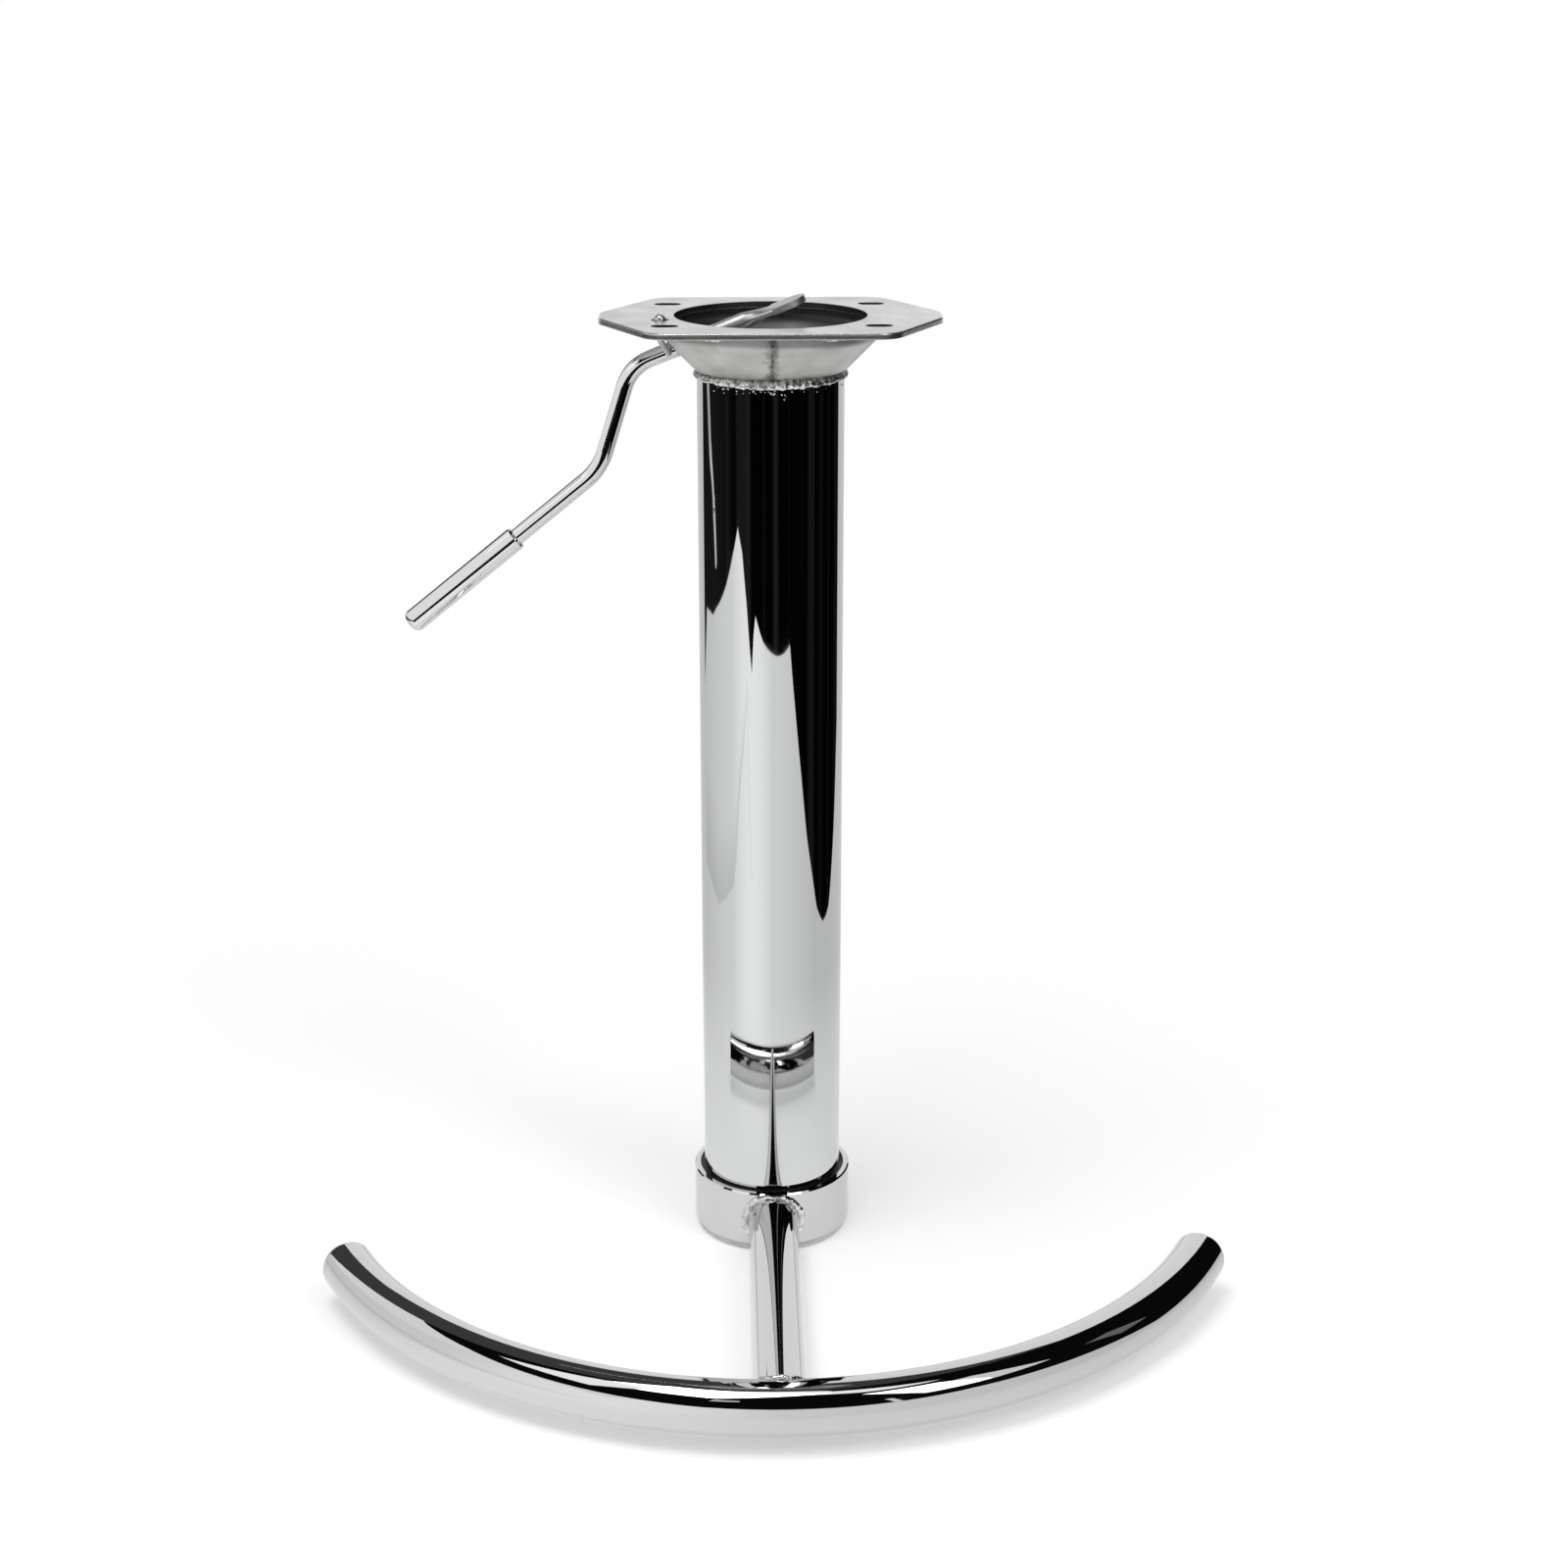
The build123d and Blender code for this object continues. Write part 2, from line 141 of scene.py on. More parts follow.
# %% Bright chrome, for round tubes and for the lever
haze_scale = 70
haze_low, haze_high = 0.012, 0.04
lever_colour = (0.70, 0.703, 0.705)


def chrome(name, colour, wave_scale, wave_depth):
    """A mirror with a little haze and shallow polishing waves."""
    material, tree, shader, place = new_finish(name, 1.0, colour)
    haze = grain(tree, place, haze_scale, 4)
    tree.links.new(spread(tree, haze, haze_low, haze_high), shader.inputs["Roughness"])
    relief(tree, shader, grain(tree, place, wave_scale, 1), wave_depth)
    return material


tube_chrome = chrome("tube_chrome", (0.64, 0.645, 0.65), 28, 0.00002)
bar_chrome = chrome("bar_chrome", (0.60, 0.603, 0.605), 34, 0.00002)
lever_chrome = chrome("lever_chrome", lever_colour, 60, 0.000003)
rod_chrome = chrome("rod_chrome", lever_colour, 60, 0.00001)
print("chrome finishes:", [m.name for m in (tube_chrome, bar_chrome, lever_chrome, rod_chrome)])

# %% [markdown]
# Some finishes change along an axis or blend into each other. That takes a few more helpers: the
# coordinates of a place, one step of arithmetic, and a mix of two numbers, directions or colours.

# %% Coordinates, arithmetic and mixing
def connect(tree, value, socket):
    """Give a socket a number, a colour or another node's result."""
    if isinstance(value, bpy.types.NodeSocket):
        tree.links.new(value, socket)
    elif isinstance(value, tuple):
        socket.default_value = (*value, 1)
    else:
        socket.default_value = value


def axes(tree, place):
    """The coordinates of a place, by the names X, Y and Z."""
    node = tree.nodes.new("ShaderNodeSeparateXYZ")
    tree.links.new(place, node.inputs[0])
    return node.outputs


def calculate(tree, operation, first, second=0.0):
    """One step of arithmetic, on numbers or on other nodes' results."""
    node = tree.nodes.new("ShaderNodeMath")
    node.operation = operation
    connect(tree, first, node.inputs[0])
    connect(tree, second, node.inputs[1])
    return node.outputs[0]


# A Mix node has two inputs and an output of its own for each kind of value.
mix_sockets = {"FLOAT": (2, 3, 0), "VECTOR": (4, 5, 1), "RGBA": (6, 7, 2)}


def mix(tree, kind, share, first, second):
    """Go from the first value to the second as the share goes from 0 to 1."""
    first_input, second_input, result = mix_sockets[kind]
    node = tree.nodes.new("ShaderNodeMix")
    node.data_type = kind
    connect(tree, share, node.inputs["Factor"])
    connect(tree, first, node.inputs[first_input])
    connect(tree, second, node.inputs[second_input])
    return node.outputs[result]


print("kinds of mix:", list(mix_sockets))

# %% [markdown]
# The rod's inner end was flattened in a press, and chrome plating hardly reaches into the cup, so
# this blade is dull grey. It could be a finish of its own, but the rod is one piece of metal and
# changes gradually. So the same chrome turns dull and grey over a few millimetres at the cup's wall.

# %% Chrome that turns dull inside the cup
blade_start_x, blade_dull_x = -0.040, -0.034
blade_dark, blade_light = (0.42, 0.42, 0.415), (0.62, 0.62, 0.61)
blade_roughness = 0.42
press_mark_scale = 240

tree, shader, place = open_finish(rod_chrome)
dull = spread(tree, axes(tree, place)["X"], 0.0, 1.0, blade_start_x, blade_dull_x)
press_marks = between(tree, grain(tree, place, press_mark_scale, 4), blade_dark, blade_light)
bright_roughness = shader.inputs["Roughness"].links[0].from_socket
tree.links.new(mix(tree, "RGBA", dull, lever_colour, press_marks), shader.inputs["Base Color"])
tree.links.new(mix(tree, "FLOAT", dull, bright_roughness, blade_roughness), shader.inputs["Roughness"])
print("the rod is dull from x =", blade_dull_x)

# %% [markdown]
# ## Satin zinc
# The plate and the cup are pressed and rolled from sheet, welded and then zinc plated. Zinc plating
# is metallic but soft: it shows the room only as broad light and shade, with faint clouds where the
# plating ran differently, and a fine grain from the rolled sheet.

# %% Satin zinc on the seat plate and the cup
cloud_scale = 55
sheet_grain_scale, sheet_grain_stretch = 900, (1, 0.15, 1)


def zinc(name, metallic, dark, light, rough_low, rough_high, grain_depth):
    """Clouded zinc plating on rolled sheet."""
    material, tree, shader, place = new_finish(name, metallic, light)
    clouds = grain(tree, place, cloud_scale, 5)
    tree.links.new(between(tree, clouds, dark, light), shader.inputs["Base Color"])
    tree.links.new(spread(tree, clouds, rough_high, rough_low), shader.inputs["Roughness"])
    rolled = grain(tree, place, sheet_grain_scale, 3, sheet_grain_stretch)
    relief(tree, shader, rolled, grain_depth)
    return material


plate_zinc = zinc("plate_zinc", 0.95, (0.48, 0.48, 0.475), (0.56, 0.56, 0.55), 0.22, 0.32, 0.000006)
cup_zinc = zinc("cup_zinc", 0.7, (0.48, 0.48, 0.47), (0.70, 0.70, 0.68), 0.42, 0.56, 0.00002)
print("zinc finishes:", plate_zinc.name, cup_zinc.name)

# %% [markdown]
# The plate was cut out in a press, which rolls the upper corner of its outer edge a little. That
# corner catches the light as a thin bright line. The mesh keeps its sharp corner, and Blender's
# Bevel node rounds only its shading. It is kept to the outer edge, beyond the opening and the slots.

# %% The plate's bright outer corner
plate_low, plate_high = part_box("seat_plate")
outer_zone_x, outer_zone_y = 0.053, 0.0405
corner_round = 0.0009

tree, shader, place = open_finish(plate_zinc)
plate_at = axes(tree, place)
beyond_x = calculate(tree, "SUBTRACT", calculate(tree, "ABSOLUTE", plate_at["X"]), outer_zone_x)
beyond_y = calculate(tree, "SUBTRACT", calculate(tree, "ABSOLUTE", plate_at["Y"]), outer_zone_y)
outer_zone = calculate(tree, "GREATER_THAN", calculate(tree, "MAXIMUM", beyond_x, beyond_y))
rounded = tree.nodes.new("ShaderNodeBevel")
rounded.samples = 8
rounded.inputs["Radius"].default_value = corner_round
flat = tree.nodes.new("ShaderNodeNewGeometry")
normal = mix(tree, "VECTOR", outer_zone, flat.outputs["Normal"], rounded.outputs["Normal"])
tree.links.new(normal, tree.nodes["Bump"].inputs["Normal"])
print("the plate's outer corner is rounded in its shading by", corner_round)

# %% [markdown]
# The walls of the plate's slots and holes are painted dark grey: painted shade for the shade in these
# recesses. A wall is what lies a little below the plate's top and a little above its underside, outside
# the zone of the outer edge.

# %% The slots' walls, painted dark as shade
painted_slot_shade = (0.10, 0.10, 0.10)
face_margin = 0.0002

below_top = calculate(tree, "LESS_THAN", plate_at["Z"], plate_high[2] - face_margin)
above_under = calculate(tree, "GREATER_THAN", plate_at["Z"], plate_low[2] + face_margin)
in_wall = calculate(tree, "MULTIPLY", below_top, above_under)
painted_shade_walls = calculate(tree, "MULTIPLY", in_wall, calculate(tree, "SUBTRACT", 1.0, outer_zone))
plated = shader.inputs["Base Color"].links[0].from_socket
# Painted shade: the walls take a dark grey in place of the plating's colour.
tree.links.new(mix(tree, "RGBA", painted_shade_walls, plated, painted_slot_shade), shader.inputs["Base Color"])
print("slot walls are dark from z =", round(plate_low[2] + face_margin, 4))

# %% [markdown]
# The cup's inner face is painted a near-black grey: painted shade for the shade deep inside the cup. The
# inner face is where a point lies nearer the axis than the middle of the sheet at that height. The cone
# runs straight from its foot to its knee, so that middle is a straight line in z.

# %% Where the cup's inside is, for its painted shade
tube_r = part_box("sleeve_tube")[1][0]
cup_low, cup_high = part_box("cup_cone")
cup_lip_r = cup_high[0]
cup_foot_r = tube_r + 0.0008
cup_knee_z = cup_high[2] - 0.0051
cup_wall = 0.002

tree, shader, place = open_finish(cup_zinc)
cup_at = axes(tree, place)
x_squared = calculate(tree, "MULTIPLY", cup_at["X"], cup_at["X"])
y_squared = calculate(tree, "MULTIPLY", cup_at["Y"], cup_at["Y"])
from_axis = calculate(tree, "SQRT", calculate(tree, "ADD", x_squared, y_squared))
middle_at_foot = cup_foot_r - 0.7 * cup_wall
middle_at_knee = cup_lip_r - 0.5 * cup_wall
middle = spread(tree, cup_at["Z"], middle_at_foot, middle_at_knee, cup_low[2], cup_knee_z)
inside = calculate(tree, "LESS_THAN", from_axis, middle)
print("the cup is dark inside a line from", round(middle_at_foot, 4), "to", round(middle_at_knee, 4))

# %% [markdown]
# The cone was rolled from flat sheet and welded where its ends meet, at the front. The heat left a
# smudged dark line in the plating there. Noise makes the line's sides wander.

# %% The smudged line beside the seam, and the inside's painted shade
burnt_grey, painted_inside_shade = (0.13, 0.125, 0.12), (0.07, 0.07, 0.068)
seam_core, seam_reach = 0.0004, 0.0030
smudge_scale, seam_wander = 420, 0.007
most_burnt = 0.75

smudge = calculate(tree, "SUBTRACT", grain(tree, place, smudge_scale, 3), 0.5)
wander = calculate(tree, "MULTIPLY", smudge, seam_wander)
from_seam = calculate(tree, "ADD", calculate(tree, "ABSOLUTE", cup_at["X"]), wander)
near_seam = spread(tree, from_seam, most_burnt, 0.0, seam_core, seam_reach)
burnt = calculate(tree, "MULTIPLY", near_seam, calculate(tree, "LESS_THAN", cup_at["Y"], 0.0))
plated = shader.inputs["Base Color"].links[0].from_socket
outside = mix(tree, "RGBA", burnt, plated, burnt_grey)
# Painted shade: the cup's inside takes a near-black grey.
tree.links.new(mix(tree, "RGBA", inside, outside, painted_inside_shade), shader.inputs["Base Color"])
print("the seam's smudge reaches", seam_reach, "to each side")

# %% [markdown]
# ## Weld metal, bare steel, plastic and black screws
# Weld metal is lumpy and bright, with dull specks of slag. The chromed welds are smoother, and the
# cup's seam is dark and rough. The black oxide skin of the grub screws is made in the same way, only
# darker and finer.

# %% Weld metal and black oxide
speck_start, speck_end = 0.38, 0.55
speck_depth = 0.0002


def weld_metal(name, dark, light, rough_low, rough_high, scale):
    """Rough metal whose dull specks are hollows."""
    material, tree, shader, place = new_finish(name, 1.0, light)
    specks = grain(tree, place, scale, 6)
    colour = between(tree, specks, dark, light, speck_start, speck_end)
    tree.links.new(colour, shader.inputs["Base Color"])
    tree.links.new(spread(tree, specks, rough_high, rough_low), shader.inputs["Roughness"])
    relief(tree, shader, specks, speck_depth)
    return material


rough_weld = weld_metal("rough_weld", (0.34, 0.33, 0.32), (0.86, 0.85, 0.83), 0.22, 0.5, 600)
chromed_weld = weld_metal("chromed_weld", (0.50, 0.50, 0.51), (0.74, 0.745, 0.75), 0.05, 0.2, 350)
seam_weld = weld_metal("seam_weld", (0.10, 0.10, 0.09), (0.30, 0.29, 0.28), 0.3, 0.6, 900)
black_screw = weld_metal("black_screw", (0.03, 0.03, 0.032), (0.07, 0.07, 0.075), 0.3, 0.45, 1200)
print("rough finishes:", [m.name for m in (rough_weld, chromed_weld, seam_weld, black_screw)])

# %% [markdown]
# The socket, its discs and the lever's wire are plain machined steel. A lathe leaves rings round
# the axis, so the noise is squeezed along z and drawn out across it.

# %% Plain machined steel
ring_scale, ring_stretch, ring_depth = 260, (0.2, 0.2, 6), 0.00003
steel_dark, steel_light = (0.40, 0.40, 0.39), (0.54, 0.54, 0.53)
steel_rough_low, steel_rough_high = 0.22, 0.4

plain_steel, tree, shader, place = new_finish("plain_steel", 1.0, (0.5, 0.5, 0.5))
turned = grain(tree, place, ring_scale, 4, ring_stretch)
tree.links.new(spread(tree, turned, steel_rough_low, steel_rough_high), shader.inputs["Roughness"])
tree.links.new(between(tree, turned, steel_dark, steel_light), shader.inputs["Base Color"])
relief(tree, shader, turned, ring_depth)
print("steel finish:", plain_steel.name)

# %% [markdown]
# The guide bush is natural nylon and the ring in the collar is black nylon. Moulded plastic copies
# the fine roughness of its mould, and its shine changes a little from place to place.

# %% Pale and black nylon
shine_scale = 120
mould_grain_scale, mould_grain_depth = 1600, 0.00003


def moulded(name, dark, light, rough_low, rough_high):
    """Moulded plastic with the fine roughness of its mould."""
    material, tree, shader, place = new_finish(name, 0.0, light)
    clouds = grain(tree, place, shine_scale, 4)
    tree.links.new(between(tree, clouds, dark, light), shader.inputs["Base Color"])
    tree.links.new(spread(tree, clouds, rough_low, rough_high), shader.inputs["Roughness"])
    relief(tree, shader, grain(tree, place, mould_grain_scale, 2), mould_grain_depth)
    return material


pale_nylon = moulded("pale_nylon", (0.72, 0.72, 0.69), (0.80, 0.80, 0.78), 0.38, 0.5)
black_nylon = moulded("black_nylon", (0.018, 0.018, 0.018), (0.035, 0.035, 0.035), 0.35, 0.5)
print("nylon finishes:", pale_nylon.name, black_nylon.name)

# %% [markdown]
# ## A finish for every piece
# Each CAD node is one physical piece, so it takes one finish. The list names every node, and the
# two printed counts have to agree, so that a new node in the CAD can't be forgotten.

# %% Give each CAD node its finish
finishes = {
    "seat_plate": plate_zinc,
    "cup_cone": cup_zinc,
    "cup_seam_weld": seam_weld,
    "cup_plate_welds": rough_weld,
    "tube_top_weld": rough_weld,
    "sleeve_tube": tube_chrome,
    "guide_bush": pale_nylon,
    "taper_socket": plain_steel,
    "socket_top_disc": plain_steel,
    "socket_bottom_disc": plain_steel,
    "socket_disc_welds": rough_weld,
    "footrest_collar": bar_chrome,
    "collar_ring": black_nylon,
    "collar_screws": black_screw,
    "footrest_stem": bar_chrome,
    "stem_collar_weld": chromed_weld,
    "stem_bar_weld": chromed_weld,
    "footrest_bar": bar_chrome,
    "footrest_end_caps": bar_chrome,
    "lever_rod": rod_chrome,
    "lever_grip": lever_chrome,
    "lever_pivot_wire": plain_steel,
}
for name, finish in finishes.items():
    cad[name].data.materials.clear()
    cad[name].data.materials.append(finish)
print("finishes given:", len(finishes), "of", len(cad))

# %% [markdown]
# ## Rough weld metal
# A weld bead is a row of overlapping puddles that froze one after another, so its back is rippled
# and its edges wander. The CAD has plain rings in their place. Here each bead is a tube swept along
# the same line, with a ripple for each puddle and seeded noise for the rest. It could be a sculpt,
# but a sweep with a formula is exact, small and the same on every run.

# %% How thick a bead is at each point
plain_share, puddle_share = 0.9, 0.14
small_lump_share, small_lump_size = 0.4, 0.35
end_steepness, end_inset = 2.5, 0.35


def end_share(i, count):
    """A run that isn't closed starts and ends thin."""
    return min(1.0, end_steepness * sin(pi * (i + end_inset) / (count - 1 + 2 * end_inset)))


def lumpiness(place, lump, lump_size):
    """Large lumps, and small ones on them."""
    large = noise.noise(place / lump_size)
    small = noise.noise(place / (small_lump_size * lump_size))
    return lump * large + small_lump_share * lump * small


print("a bead's plain share:", plain_share, "and its puddles' share:", puddle_share)

# %% Sweep a lumpy bead along a line
points_around = 18
off_every_line = Vector((0.31, 0.17, 0.94))


def tube_faces(count, closed):
    """Join each ring of points to the next, and close the ends of a run that doesn't meet itself."""
    faces, last = [], count * points_around
    for i in range(count if closed else count - 1):
        for j in range(points_around):
            a = i * points_around + j
            b = i * points_around + (j + 1) % points_around
            faces.append((a, b, (b + points_around) % last, (a + points_around) % last))
    if not closed:
        faces.append(tuple(reversed(range(points_around))))
        faces.append(tuple(range(last - points_around, last)))
    return faces


def lumpy_tube(points, closed, radius, ripple, lump, lump_size, keep=None):
    """Vertices and faces of a rippled tube along points. keep(point) may push a vertex back."""
    verts, run, count = [], 0.0, len(points)
    for i, here in enumerate(points):
        before = points[i - 1] if closed or i else here
        after = points[(i + 1) % count] if closed or i < count - 1 else here
        forward = (after - before).normalized()
        side = forward.cross(off_every_line).normalized()
        up = side.cross(forward)
        run += (here - before).length
        puddle = abs(sin(pi * run / ripple))
        thick = radius(here) if callable(radius) else radius
        thinned = thick * (1.0 if closed else end_share(i, count))
        for j in range(points_around):
            turn = 2 * pi * j / points_around
            out = cos(turn) * side + sin(turn) * up
            lumps = lumpiness(here + thick * out, lump, lump_size)
            point = here + thinned * (plain_share + puddle_share * puddle + lumps) * out
            verts.append(keep(point) if keep else point)
    return verts, tube_faces(count, closed)


print("points round a bead:", points_around)

# %% [markdown]
# A mesh is seen when an object shows it. The piece then rides on one of the model's bodies and may stand
# in for plain CAD nodes.

# %% Make a piece from a mesh
def show(name, data):
    """An object of this name in the scene."""
    obj = bpy.data.objects.new(name, data)
    bpy.context.scene.collection.objects.link(obj)
    return obj


def welded_piece(mesh, finish, slot, *nodes):
    """A smooth piece that rides on the frame, in place of CAD nodes if any are named."""
    for polygon in mesh.polygons:
        polygon.use_smooth = True
    mesh.materials.append(finish)
    obj = show(mesh.name, mesh)
    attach(obj, "frame")
    if nodes:
        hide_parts(*nodes)
    print(mesh.name, "faces:", len(mesh.polygons))


def weld_piece(name, runs, finish, slot, *nodes):
    """One piece from several runs of bead."""
    verts, faces = [], []
    for run_verts, run_faces in runs:
        start = len(verts)
        verts += run_verts
        faces += [tuple(start + k for k in face) for face in run_faces]
    mesh = bpy.data.meshes.new(name)
    mesh.from_pydata(verts, [], faces)
    mesh.validate()
    welded_piece(mesh, finish, slot, *nodes)


print("welded pieces ride on the frame")

# %% [markdown]
# The bead round the tube's top joins it to the cup. The welder laid the most metal at the front, so
# the bead is thicker there.

# %% The bead between the cup and the tube
top_bead_z = cup_low[2] - 0.0018
bead_thin, more_in_front = 0.0012, 0.0008


def about_axis(radius, z, start, stop, step):
    """Points on a level circle about the tube's axis, between two angles in degrees."""
    count = int((stop - start) / step)
    last = count + 1 if stop - start < 360 else count
    angles = [radians(start + (stop - start) * k / count) for k in range(last)]
    return [Vector((radius * cos(a), radius * sin(a), z)) for a in angles]


def top_bead_radius(here):
    """Thickest at the front, which is -Y."""
    frontness = max(0.0, -here.y / tube_r)
    return bead_thin + more_in_front * frontness ** 2


top_line = about_axis(tube_r + 0.0001, top_bead_z, 0, 360, 0.8)
top_bead = lumpy_tube(top_line, True, top_bead_radius, 0.0026, 0.45, 0.0021)
weld_piece("tube_top_bead", [top_bead], rough_weld, "weld_steel", "tube_top_weld")

# %% [markdown]
# The plate sits on the cup's lip and is held by six short runs from below. They are out of sight in
# the photograph, but a low view shows them. Each stays under the plate.

# %% Short runs under the plate
plate_under_z = plate_low[2]
run_middles, half_run = (0, 60, 120, 180, 235, 305), 12
corner_gap = 0.0007


def under_the_plate(point):
    """Keep the bead below the plate's underside."""
    return Vector((point.x, point.y, min(point.z, plate_under_z)))


plate_runs = []
for middle_angle in run_middles:
    line = about_axis(cup_lip_r + corner_gap, plate_under_z - corner_gap,
                      middle_angle - half_run, middle_angle + half_run, 0.6)
    plate_runs.append(lumpy_tube(line, False, 0.0018, 0.0024, 0.3, 0.002, under_the_plate))
weld_piece("cup_plate_beads", plate_runs, rough_weld, "weld_steel", "cup_plate_welds")

# %% [markdown]
# The footrest's two welds were ground a little and chromed with the rest, so they are smoother. Each
# follows the line where two tubes meet: the stem with the round collar, and the stem with the bent
# bar. Both lines are worked out from the tubes' radii.

# %% The lines where the stem meets the collar and the bar
stem_low, stem_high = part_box("footrest_stem")
stem_r = stem_high[0]
stem_z = (stem_low[2] + stem_high[2]) / 2
collar_low, collar_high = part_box("footrest_collar")
collar_r = collar_high[0]
bar_low, bar_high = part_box("footrest_bar")
bar_r = (bar_high[2] - bar_low[2]) / 2
bend_r, bend_y = 0.198, 0.012
line_points = 120


def collar_point(turn):
    """A point just outside the stem's wall and the collar's."""
    x = (stem_r + 0.0010) * cos(turn)
    z = stem_z + (stem_r + 0.0004) * sin(turn)
    return Vector((x, -sqrt(collar_r**2 - x * x) - 0.0002, z))


def bar_point(turn):
    """A point of the stem's wall, just short of the inside of the bent bar."""
    x = stem_r * cos(turn)
    inner_bend = bend_r - bar_r * abs(cos(turn))
    y = max(bend_y - sqrt(inner_bend**2 - x * x), stem_low[1])
    return Vector((x, y + 0.0002, stem_z + stem_r * sin(turn)))


turns = [2 * pi * k / line_points for k in range(line_points)]
collar_line = [collar_point(turn) for turn in turns]
bar_line = [bar_point(turn) for turn in turns]
print("stem's radius and height:", round(stem_r, 4), round(stem_z, 4))

# %% The beads at the two ends of the stem
edge_margin = 0.0004


def on_the_collar(point):
    """Keep the bead between the collar's upper and lower edge."""
    low, high = collar_low[2] + edge_margin, collar_high[2] - edge_margin
    return Vector((point.x, point.y, min(max(point.z, low), high)))


collar_bead = lumpy_tube(collar_line, True, 0.0018, 0.0030, 0.28, 0.003, on_the_collar)
weld_piece("stem_collar_bead", [collar_bead], chromed_weld, "plated_weld", "stem_collar_weld")
bar_bead = lumpy_tube(bar_line, True, 0.0010, 0.0022, 0.3, 0.002)
weld_piece("stem_bar_bead", [bar_bead], chromed_weld, "plated_weld", "stem_bar_weld")

# %% [markdown]
# Welding throws off small drops that stick to the metal round the bead. They are flat domes here,
# most of them on the tube just under the front of the bead, where the photograph shows them. The
# dice are seeded, so the drops fall in the same places on every run.

# %% Weld spatter on the tube
drop_count = 34
front_angle, left_of_front, angle_spread = -90, 6, 28
nearest_fall, fall_spread = 0.0021, 0.0018
smallest_drop, largest_drop = 0.00018, 0.00052
flattening, unevenness = 0.35, 0.25
dent_scale, drop_shift = 2500, 900

dice = Random(11)
spatter = bmesh.new()
for k in range(drop_count):
    angle = radians(front_angle + dice.gauss(0, angle_spread) - left_of_front)
    fall = abs(dice.gauss(0, fall_spread)) + nearest_fall
    size = dice.uniform(smallest_drop, largest_drop)
    outward = Vector((cos(angle), sin(angle), 0))
    centre = outward * tube_r + Vector((0, 0, top_bead_z - fall))
    for v in bmesh.ops.create_icosphere(spatter, subdivisions=2, radius=size)["verts"]:
        dome = v.co - outward * v.co.dot(outward) * flattening
        dent = noise.noise(v.co * dent_scale + centre * drop_shift)
        v.co = centre + dome * (1 + unevenness * dent)
spatter_mesh = bpy.data.meshes.new("weld_spatter")
spatter.to_mesh(spatter_mesh)
spatter.free()
welded_piece(spatter_mesh, rough_weld, "weld_steel")
print("spatter drops:", drop_count)

# %% [markdown]
# ## The stage: a white sweep, a dark room and soft light
# Chrome has no look of its own: it shows the room. The photograph's chrome is black above, pale
# below, and has a few white patches, so the room is known from it: white paper that curls up round
# the part on the left and in front, a white wall behind, a dark ceiling, and soft boxes that hang in
# it. Cards stand in for these here. Only reflections see them, so they cast no shadow and change no
# light on the object.

# %% A share for what the camera and reflections see
def seen_directly(tree):
    """1 for camera, glossy and transmission rays, and 0 for the rays that carry light."""
    path = tree.nodes.new("ShaderNodeLightPath")
    value = path.outputs["Is Camera Ray"]
    for kind in ("Is Glossy Ray", "Is Transmission Ray"):
        value = calculate(tree, "MAXIMUM", value, path.outputs[kind])
    return value


print("three kinds of ray see the room directly")

# %% [markdown]
# White paper isn't equally bright everywhere: it is brightest where the room's lamps point at it, to
# the front left. The chrome shows that as a broad soft change of grey.

# %% How bright the paper looks to a reflection in each direction
brightest_turn = -32
paper_low, paper_high, paper_from, paper_to = 0.70, 0.92, -0.3, 0.8
lamp_spot, spot_from, spot_to = 0.25, 0.84, 1.0


def vector_step(tree, operation, first, second=(0, 0, 0)):
    """One step of arithmetic on a place or a direction."""
    node = tree.nodes.new("ShaderNodeVectorMath")
    node.operation = operation
    tree.links.new(first, node.inputs[0])
    node.inputs[1].default_value = second
    return node.outputs


def toward(tree, place, turn):
    """The cosine between a point's direction from the axis and this angle round, and the direction."""
    on_floor = vector_step(tree, "MULTIPLY", place, (1, 1, 0))["Vector"]
    direction = vector_step(tree, "NORMALIZE", on_floor)["Vector"]
    aim = (sin(radians(turn)), -cos(radians(turn)), 0)
    return vector_step(tree, "DOT_PRODUCT", direction, aim)["Value"], direction


def paper_light(tree, place):
    """Brightest to the front left, where the room's lamps shine, and lower on both sides."""
    facing = toward(tree, place, brightest_turn)[0]
    broad = spread(tree, facing, paper_low, paper_high, paper_from, paper_to)
    return calculate(tree, "ADD", broad, spread(tree, facing, 0.0, lamp_spot, spot_from, spot_to))


print("the paper is brightest at", brightest_turn, "degrees round from the camera")

# %% [markdown]
# The floor is pale paper that takes the soft shadow of the part. Away from the part it blends into
# plain white, so no edge or horizon shows. Reflections see it turn white nearer the part than the
# camera does, which keeps most of the shadow out of the chrome.

# %% The pale floor
floor_size = 12.0
floor_grey = (0.8, 0.8, 0.8)
floor_roughness, floor_shine, floor_glow = 0.9, 0.1, 0.30

bpy.ops.mesh.primitive_plane_add(size=floor_size, location=(0, 0, 0))
floor = bpy.context.object
floor.name = "floor"
paper, tree, shader, place = new_finish("floor_paper", 0.0, floor_grey)
shader.inputs["Roughness"].default_value = floor_roughness
shader.inputs["Specular IOR Level"].default_value = floor_shine
shader.inputs["Emission Color"].default_value = (1, 1, 1, 1)
seen = seen_directly(tree)
tree.links.new(calculate(tree, "MULTIPLY", seen, floor_glow), shader.inputs["Emission Strength"])
floor.data.materials.append(paper)
print("floor:", floor_size, "metres across")

# %% The floor's blend into plain white
reflected_near, reflected_far = 0.10, 0.32
camera_near, camera_far = 0.25, 0.55

